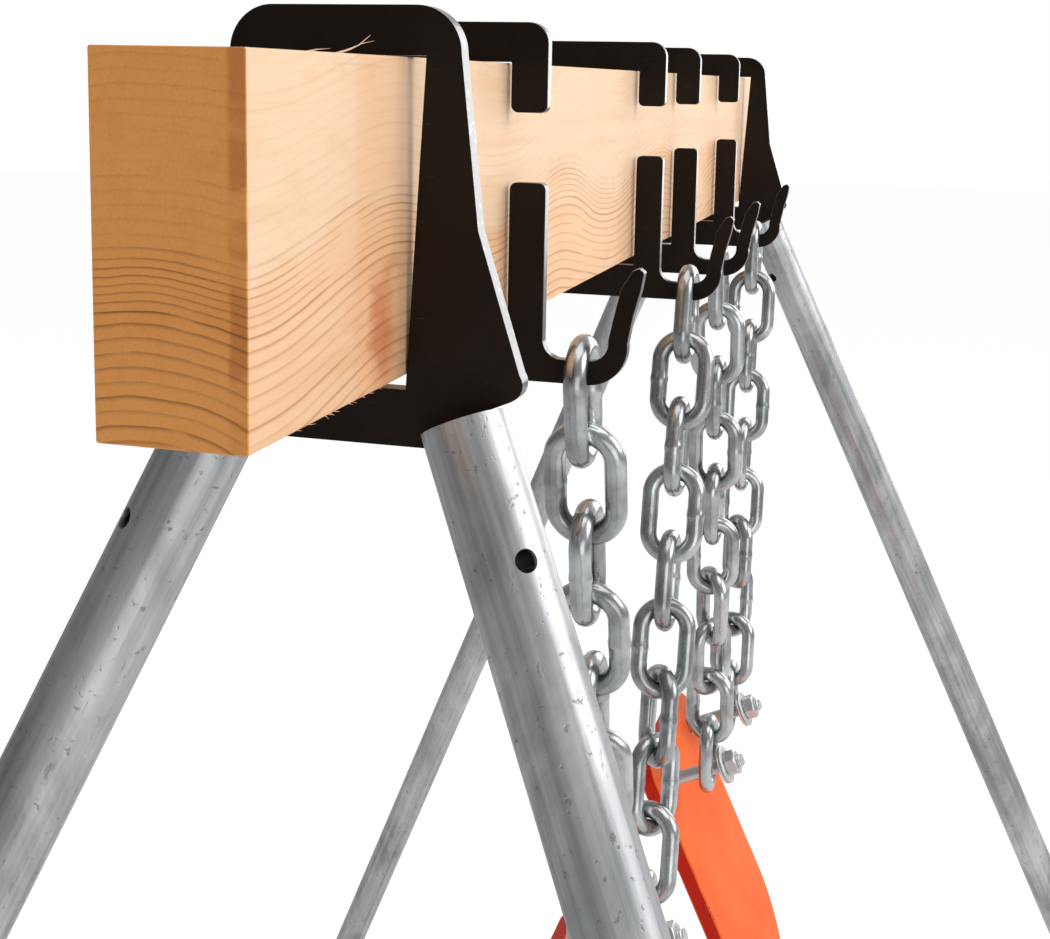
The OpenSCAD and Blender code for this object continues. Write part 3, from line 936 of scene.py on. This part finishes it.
class STAND_OT_end_brackets(bpy.types.Operator):
    """Builds the two painted end brackets, with a painted highlight on their edges"""
    bl_idname = "stand.end_brackets"
    bl_label = "End Brackets"

    def execute(self, context):
        for side in PAIRS:
            add_plate_steel(context, f"{side}_end_bracket", f"{side}_bracket", "stand")
        return {"FINISHED"}


class STAND_OT_hangers(bpy.types.Operator):
    """Builds the four slip-on hangers, with a painted highlight on their edges"""
    bl_idname = "stand.hangers"
    bl_label = "Hangers"

    def execute(self, context):
        for number in range(1, 5):
            add_plate_steel(context, f"slip_on_hanger_{number}", f"hanger_{number}", f"hanger_{number}")
        return {"FINISHED"}


def wrap_tube(piece, foot, top):
    """UV map along a tube: u round it and v down it, both in metres."""
    axis = (foot - top).normalized()
    side = axis.cross(Vector((0, 0, 1))).normalized()
    front = axis.cross(side)
    mesh = piece.data
    layer = mesh.uv_layers.new(name="along_tube")
    radius = tube_radius()
    for face in mesh.polygons:
        centre = face.center - top
        centre_angle = math.atan2(centre.dot(front), centre.dot(side))
        for loop in face.loop_indices:
            arm = mesh.vertices[mesh.loops[loop].vertex_index].co - top
            angle = math.atan2(arm.dot(front), arm.dot(side))
            turn = (angle - centre_angle + math.pi) % (2 * math.pi) - math.pi
            layer.data[loop].uv = ((centre_angle + turn) * radius, arm.dot(axis))


def pin_hole_mount(number):
    """The mount at a leg's pin hole, from the packed record."""
    return next(m for m in frame["record"]["mounts"] if m["name"] == f"leg_{number}_pin_hole")


def tube_radius():
    """Half of a leg tube's outer diameter, which the pin hole runs through."""
    return pin_hole_mount(1)["dims"]["length_mm"] * MM / 2


def leg_axis(number):
    """Two points on a leg's axis: the middle of its pin hole, and of its foot on the floor."""
    floor_ring = [v.co for v in frame["nodes"][f"leg_{number}"].data.vertices if v.co.z < 0.1 * MM]
    foot = Vector([(min(c[k] for c in floor_ring) + max(c[k] for c in floor_ring)) / 2 for k in range(3)])
    return Vector(pin_hole_mount(number)["pos_m"]), foot


class STAND_OT_tube_legs(bpy.types.Operator):
    """Builds the four galvanised leg tubes with rounded rims and pin holes"""
    bl_idname = "stand.tube_legs"
    bl_label = "Tube Legs"

    def execute(self, context):
        tube = context.scene.stand_tube
        material = tube_look(tube)
        for number in range(1, 5):
            shape = bevel_cuts(joined_copy(f"leg_{number}"), tube.edge, 2)
            piece = add_piece(f"tube_leg_{number}", shape, [material])
            top, foot = leg_axis(number)
            wrap_tube(piece, foot, top)
            even_normals(piece)
            stand_for(piece, "stand", "galvanised_tube", f"leg_{number}")
        return {"FINISHED"}


class STAND_OT_chains(bpy.types.Operator):
    """Builds the welded chains: an upper and a lower half for each plate"""
    bl_idname = "stand.chains"
    bl_label = "Chains"

    def execute(self, context):
        chain = context.scene.stand_chain
        plate = context.scene.stand_plate
        material = zinc_look("bright_zinc_chain", chain.zinc, gloss=0.17)
        maker = chain_maker()
        bend = chain_bend(chain)
        half = chain.links // 2
        for side, (first, second) in PAIRS.items():
            swing = joint_at(f"{side}_chain_swing")
            lean = chain_lean(side, chain, plate)
            pivots = [Vector((middle(f"hanger_{n}").x, swing.y, swing.z - bend)) for n in (first, second)]
            # The upper links cross squarely; the lower ones turn a little more
            parts = {"upper": (0, 0.0, math.radians(90)),
                     "lower": (half, math.radians(108), math.radians(108))}
            for part, (start, turn, turn_step) in parts.items():
                piece = maker.make(f"{side}_chains_{part}_half", bpy.data.meshes.new("empty"), {
                    "Wire": chain.wire, "Bend": bend, "Straight": chain.link_length - chain.link_width,
                    "Weld": chain.weld, "Pitch": chain_pitch(chain), "First": start, "Count": half,
                    "First Turn": turn, "Turn Step": turn_step, "Lean": lean,
                    "Left Pivot": pivots[0], "Right Pivot": pivots[1], "Material": material})
                stand_for(piece, f"{side}_chains_{part}", "zinc_chain",
                          f"chain_{first}_{part}", f"chain_{second}_{part}")
        return {"FINISHED"}


class STAND_OT_plates(bpy.types.Operator):
    """Builds the two orange plates with rounded, chipped edges"""
    bl_idname = "stand.plates"
    bl_label = "Hanging Plates"

    def execute(self, context):
        plate = context.scene.stand_plate
        materials = [orange_look(plate), chipped_orange_look(plate)]
        for number, side in enumerate(PAIRS, start=1):
            shape = bevel_cuts(joined_copy(f"plate_{number}"), plate.edge, 4, 1)
            piece = add_piece(f"{side}_hanging_plate", shape, materials)
            even_normals(piece)
            stand_for(piece, f"{side}_plate", "orange_steel", f"plate_{number}")
        return {"FINISHED"}


def washer_start(fastener, plate, number):
    """Height of a washer above a plate's front face."""
    return plate.stand_off + fastener.washer_gap + number * (fastener.washer_thickness + fastener.play)


def nut_start(fastener, plate):
    """Height of a nut above a plate's front face: it lies on two washers."""
    return washer_start(fastener, plate, 2)


def bolt_shape(fastener, plate):
    """Cup head, square neck, shank and thread, with the plate's front face at height 0."""
    shank, head = fastener.shank / 2, fastener.head / 2
    height = fastener.head_height
    back = -plate.thickness
    dome = (head * head + height * height) / (2 * height)
    neck_end = back + fastener.neck
    end = nut_start(fastener, plate) + fastener.nut_height + fastener.proud
    thread_from = end - fastener.threaded
    square = shank + 0.1 * MM
    spread = math.asin(head / dome)
    levels = [(0, back - height)]
    for step in range(1, 9):
        angle = spread * step / 8
        levels.append((dome * math.sin(angle), back - height + dome * (1 - math.cos(angle))))
    levels += [(head, back - 0.02 * MM), (square, back), (square, neck_end), (shank, neck_end + 0.1 * MM)]
    levels += [(shank, thread_from - 0.5 * MM)]
    rings_per_turn = 5
    count = int((end - thread_from) / fastener.thread * rings_per_turn)
    for ring in range(count + 1):
        levels.append((shank, thread_from + (end - thread_from) * ring / count))
    levels += [(shank - 0.9 * MM, end + 0.25 * MM), (0, end + 0.3 * MM)]
    tooth, tip_taper = 0.55 * MM, 0.7 * MM
    run_in_length, tip_length = 1.5 * MM, 0.8 * MM
    blunt = 0.78

    def radius_at(radius, level, angle):
        if abs(radius - square) < 1e-9:
            return square / max(abs(math.cos(angle)), abs(math.sin(angle)), blunt)
        if thread_from <= level <= end:
            place = (level / fastener.thread + angle / (2 * math.pi)) % 1.0
            depth = tooth * abs(2 * place - 1)
            run_in = min(1.0, (level - thread_from) / run_in_length)
            lead_out = min(1.0, max(0.0, (end - level) / tip_length))
            return radius - depth * run_in - tip_taper * (1 - lead_out)
        return radius
    return turned(levels, 32, radius_at)


def washer_shape(fastener, plate):
    """Two flat washers with rolled edges, a hair apart."""
    outer, hole, thick = fastener.washer / 2, fastener.shank / 2 + 0.2 * MM, fastener.washer_thickness
    roll, break_edge = 0.7 * MM, 0.25 * MM
    both = bmesh.new()
    for number in range(2):
        low = washer_start(fastener, plate, number)
        levels = list(arc((outer - roll, low + roll), roll, -math.pi / 2, 0, 3))
        levels += list(arc((outer - roll, low + thick - roll), roll, 0, math.pi / 2, 3))
        levels += [(hole + break_edge, low + thick), (hole, low + thick - break_edge),
                   (hole, low + break_edge), (hole + break_edge, low)]
        part = turned(levels, 64, closed=True)
        mesh = bpy.data.meshes.new("washer")
        part.to_mesh(mesh)
        part.free()
        both.from_mesh(mesh)
        bpy.data.meshes.remove(mesh)
    return both


def nut_shape(fastener, plate):
    """Hexagon nut with chamfered corners and a countersunk thread."""
    flat, height = fastener.nut / 2, fastener.nut_height
    start = nut_start(fastener, plate)
    bore = fastener.shank / 2 + 0.03 * MM
    corner = flat / math.cos(math.pi / 6)
    face = flat * 0.96
    sink = 0.6 * MM
    slope = math.tan(math.radians(60))
    depth = (corner - face) / slope
    steps = 6
    heights = [depth * n / steps for n in range(steps + 1)]
    heights = heights + [height - h for h in reversed(heights)]
    levels = [(corner, start + h) for h in heights]
    levels += [(bore + sink, start + height), (bore, start + height - sink),
               (bore, start + sink), (bore + sink, start)]

    def radius_at(radius, level, angle):
        if abs(radius - corner) > 1e-9:
            return radius
        hexagon = flat / math.cos((angle + math.pi / 6) % (math.pi / 3) - math.pi / 6)
        from_face = min(level - start, start + height - level)
        return min(hexagon, face + from_face * slope)
    return turned(levels, 72, radius_at, closed=True)


def fasteners(context, kind, base, turn):
    """Sets one kind of fastener on both plates."""
    scene = context.scene
    chain, plate, fastener = scene.stand_chain, scene.stand_plate, scene.stand_fastener
    material = bpy.data.materials.get("zinc_hardware")
    material = material or zinc_look("zinc_hardware", fastener.zinc, clouds=90.0, gloss=0.20)
    maker = fastener_maker()
    for side, (first, second) in PAIRS.items():
        line = bolt_line(side, chain, plate)
        mesh = bpy.data.meshes.new(kind)
        base.to_mesh(mesh)
        piece = maker.make(f"{side}_{kind}", mesh, {
            "Gap": middle(f"bolt_{second}").x - middle(f"bolt_{first}").x,
            "Tip": math.pi / 2 - plate.tilt, "Origin": line.to_translation(), "Turn": turn,
            "Material": material})
        node = {"bolts": "bolt", "nuts": "nut"}.get(kind, kind)
        stand_for(piece, f"{side}_plate", "zinc_hardware", f"{node}_{first}", f"{node}_{second}")
        sharpen(piece, math.radians(34))
    base.free()


def sharpen(piece, angle):
    """Keeps the turned corners crisp."""
    piece.data.set_sharp_from_angle(angle=angle)


class STAND_OT_bolts(bpy.types.Operator):
    """Builds the cup-head bolts with their threads"""
    bl_idname = "stand.bolts"
    bl_label = "Bolts"

    def execute(self, context):
        scene = context.scene
        fasteners(context, "bolts", bolt_shape(scene.stand_fastener, scene.stand_plate), 0.7)
        return {"FINISHED"}


class STAND_OT_washers(bpy.types.Operator):
    """Builds the two washers on each bolt"""
    bl_idname = "stand.washers"
    bl_label = "Washers"

    def execute(self, context):
        scene = context.scene
        fasteners(context, "washers", washer_shape(scene.stand_fastener, scene.stand_plate), 0.0)
        return {"FINISHED"}


class STAND_OT_nuts(bpy.types.Operator):
    """Builds the hexagon nuts"""
    bl_idname = "stand.nuts"
    bl_label = "Nuts"

    def execute(self, context):
        scene = context.scene
        fasteners(context, "nuts", nut_shape(scene.stand_fastener, scene.stand_plate), 0.5)
        return {"FINISHED"}


# ---------------------------------------------------------------- studio

def add_lamp(name, place, target, size, power, colour=(1, 1, 1)):
    """A square soft light that faces a target."""
    data = bpy.data.lights.new(name, "AREA")
    data.shape = "RECTANGLE"
    data.size, data.size_y = size
    data.energy = power
    data.color = colour
    lamp = bpy.data.objects.new(name, data)
    lamp.location = place
    lamp.rotation_euler = (Vector(target) - Vector(place)).to_track_quat("-Z", "Y").to_euler()
    bpy.context.scene.collection.objects.link(lamp)
    return lamp


def add_sky(strength):
    """Soft light that is brighter ahead and beside the key light, in front of plain white."""
    world = bpy.data.worlds.new("studio")
    bpy.context.scene.world = world
    world.use_nodes = True
    tree = Tree(world.node_tree)
    world.node_tree.nodes.clear()
    way = tree.add("ShaderNodeTexCoord", out="Generated")
    x = tree.add("ShaderNodeSeparateXYZ", values={0: way})
    y, z = tree.other(x, 1), tree.other(x, 2)
    ahead = x.math("MAXIMUM", x, 0.0)
    beside = y.math("MAXIMUM", -y, 0.0)
    above = z.math("MAXIMUM", z, 0.0)
    behind = x.math("MAXIMUM", -x, 0.0)
    all_round, from_ahead, from_beside, from_above, from_behind = 0.12, 0.62, 0.42, 0.16, 0.10
    glow = all_round + from_ahead * ahead * ahead + from_beside * beside * beside
    glow = glow + from_above * above + from_behind * behind
    seen = tree.add("ShaderNodeLightPath", out="Is Camera Ray")
    level = seen * strength + (1.0 - seen) * glow * strength
    shader = tree.add("ShaderNodeBackground", values={"Color": (1, 1, 1, 1), "Strength": level})
    tree.add("ShaderNodeOutputWorld", values={"Surface": shader})


class STAND_OT_studio(bpy.types.Operator):
    """Sets the floor, the soft lights and the camera"""
    bl_idname = "stand.studio"
    bl_label = "Studio"

    def execute(self, context):
        studio = context.scene.stand_studio
        shape = bmesh.new()
        bmesh.ops.create_circle(shape, cap_ends=True, segments=96, radius=studio.floor_radius)
        floor = add_piece("studio_floor", shape, [floor_look(studio)])
        add_sky(studio.sky)
        # Name, place, target, size in metres, power in watts
        add_lamp("key_light", (0.25, -2.3, 1.75), (0.0, 0.0, 0.75), (1.8, 1.4), 26)
        add_lamp("top_light", (-0.3, -0.5, 2.9), (0.0, 0.0, 0.6), (2.0, 2.0), 20)
        add_lamp("front_light", (-2.0, -1.4, 0.5), (-0.4, -0.1, 0.6), (1.6, 1.2), 8)
        add_lamp("far_light", (2.4, -0.9, 1.3), (0.0, 0.0, 0.8), (1.2, 1.6), 16)

        turn, dip, roll = studio.heading, studio.dip, studio.roll
        ahead = Vector((math.cos(turn) * math.cos(dip), math.sin(turn) * math.cos(dip), -math.sin(dip)))
        right = Vector((math.sin(turn), -math.cos(turn), 0))
        up = right.cross(ahead)
        right, up = (math.cos(roll) * right + math.sin(roll) * up,
                     -math.sin(roll) * right + math.cos(roll) * up)
        data = bpy.data.cameras.new("camera")
        data.lens = studio.lens
        data.shift_y = studio.shift
        data.clip_start = 0.01
        camera = bpy.data.objects.new("camera", data)
        camera.matrix_world = (Matrix.Translation(studio.camera)
                               @ Matrix((right, up, -ahead)).transposed().to_4x4())
        context.scene.collection.objects.link(camera)
        context.scene.camera = camera
        context.scene.view_settings.view_transform = "Standard"
        context.scene.view_settings.look = "None"
        return {"FINISHED"}


# ---------------------------------------------------------------- add-on

OPERATORS = (
    STAND_OT_studio, STAND_OT_timber_beam, STAND_OT_end_brackets, STAND_OT_hangers,
    STAND_OT_tube_legs, STAND_OT_chains, STAND_OT_plates, STAND_OT_bolts, STAND_OT_washers,
    STAND_OT_nuts,
)


class STAND_PT_builder(bpy.types.Panel):
    """Lists the pieces of the stand"""
    bl_idname = "STAND_PT_builder"
    bl_label = "Hanging Plate Stand"
    bl_space_type = "VIEW_3D"
    bl_region_type = "UI"
    bl_category = "Stand"

    def draw(self, context):
        for settings in SETTINGS:
            box = self.layout.box()
            box.label(text=SETTINGS[settings].__doc__)
            group = getattr(context.scene, settings)
            for name in group.bl_rna.properties.keys():
                if name not in {"rna_type", "name"}:
                    box.prop(group, name)
        for operator in OPERATORS:
            self.layout.operator(operator.bl_idname)


def register():
    for group in SETTINGS.values():
        bpy.utils.register_class(group)
    for name, group in SETTINGS.items():
        setattr(bpy.types.Scene, name, bpy.props.PointerProperty(type=group))
    for operator in OPERATORS:
        bpy.utils.register_class(operator)
    bpy.utils.register_class(STAND_PT_builder)


def unregister():
    bpy.utils.unregister_class(STAND_PT_builder)
    for operator in reversed(OPERATORS):
        bpy.utils.unregister_class(operator)
    for name in SETTINGS:
        delattr(bpy.types.Scene, name)
    for group in reversed(SETTINGS.values()):
        bpy.utils.unregister_class(group)


def main():
    """Builds every piece in turn."""
    register()
    for operator in OPERATORS:
        name = operator.bl_idname.split(".")[1]
        getattr(bpy.ops.stand, name)()


if __name__ == "__main__":
    main()
